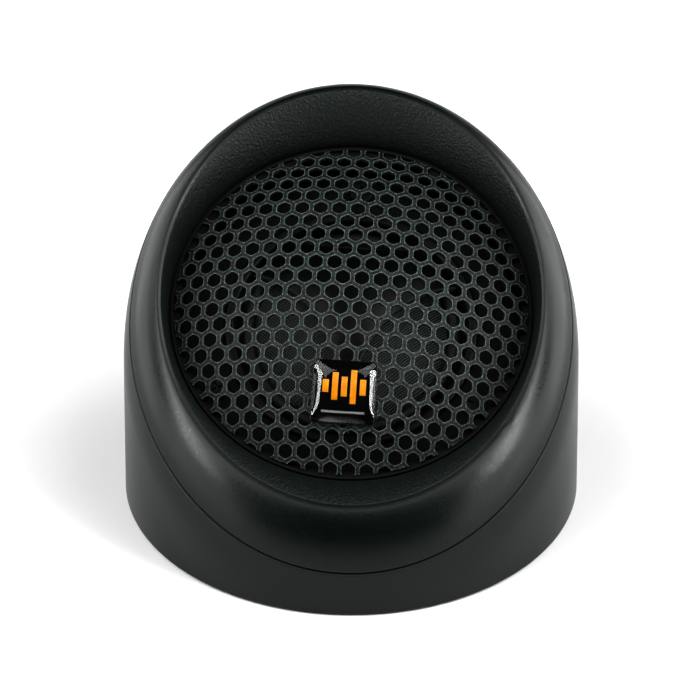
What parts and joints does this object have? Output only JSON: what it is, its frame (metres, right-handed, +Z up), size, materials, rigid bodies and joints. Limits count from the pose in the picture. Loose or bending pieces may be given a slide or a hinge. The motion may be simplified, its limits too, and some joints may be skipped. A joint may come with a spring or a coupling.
{
  "type": "car tweeter",
  "caption": "Angled surface-mount soft-dome car tweeter: slant-cut round pod and bezel, domed hexagonal mesh with a square badge, and a neodymium motor that moves a silk dome.",
  "frame": {"origin": "centre of the base, on the surface that the pod stands on", "axes": "+Z up from the base, -Y out of the front, where the pod is lowest"},
  "size_m": [0.06, 0.06, 0.0462],
  "materials": {
    "pod_plastic": "satin moulded ABS, fine",
    "collar_plastic": "fine spark-textured ABS",
    "inner_plastic": "plain moulded plastic",
    "guard_plastic": "satin moulded plastic",
    "mesh_steel": "satin powder coat on punched steel",
    "badge_black": "gloss",
    "badge_orange": "gloss print",
    "badge_resin": "clear domed resin",
    "badge_grey": "gloss print",
    "black_steel": "black oxide",
    "zinc_steel": "zinc plated",
    "spring_steel": "spring steel",
    "magnet_nickel": "nickel plated neodymium",
    "copper": "bare copper",
    "brass": "tinned brass",
    "rubber": "matte",
    "surround_cloth": "coated cloth",
    "silk": "woven silk with a damping coat",
    "felt": "pressed felt",
    "former_film": "amber film",
    "board": "glass epoxy board",
    "lead_cover": "insulated lead"
  },
  "bodies": {
    "pod": {"base_pod": "pod_plastic", "base_plate": "inner_plastic", "base_screws": "zinc_steel", "wire_grommet": "rubber", "collar": "collar_plastic", "seat_ring": "inner_plastic", "retaining_clip": "spring_steel"},
    "tweeter": {"tweeter_cup": "inner_plastic", "grille_frame": "inner_plastic", "grille_mesh": "mesh_steel", "badge_plate": "badge_black", "badge_mark": "badge_orange", "badge_rule": "badge_grey", "badge_resin": "badge_resin", "faceplate": "inner_plastic", "faceplate_screws": "black_steel", "dome_guard": "guard_plastic", "surround_ring": "inner_plastic", "surround": "surround_cloth", "yoke": "zinc_steel", "magnet": "magnet_nickel", "pole_plate": "zinc_steel", "shorting_cap": "copper", "pole_pad": "felt", "chamber_felt": "felt", "rear_cover": "inner_plastic", "terminal_board": "board", "terminal_positive": "brass", "terminal_negative": "brass", "terminal_rivets": "brass", "lead_wires": "lead_cover"},
    "diaphragm": {"silk_dome": "silk", "coil_former": "former_film", "voice_coil": "copper"}
  },
  "joints": [
    {"name": "tweeter_twist", "type": "hinge", "parent": "pod", "child": "tweeter", "pos_m": [0, 0, 0.03], "axis": [0, -0.5299, 0.848], "range_deg": [-30, 30]},
    {"name": "diaphragm_travel", "type": "slide", "parent": "tweeter", "child": "diaphragm", "axis": [0, -0.5299, 0.848], "range_m": [-0.0003, 0.0003], "stiffness_N_per_m": 200, "deforming": ["surround"]}
  ]
}
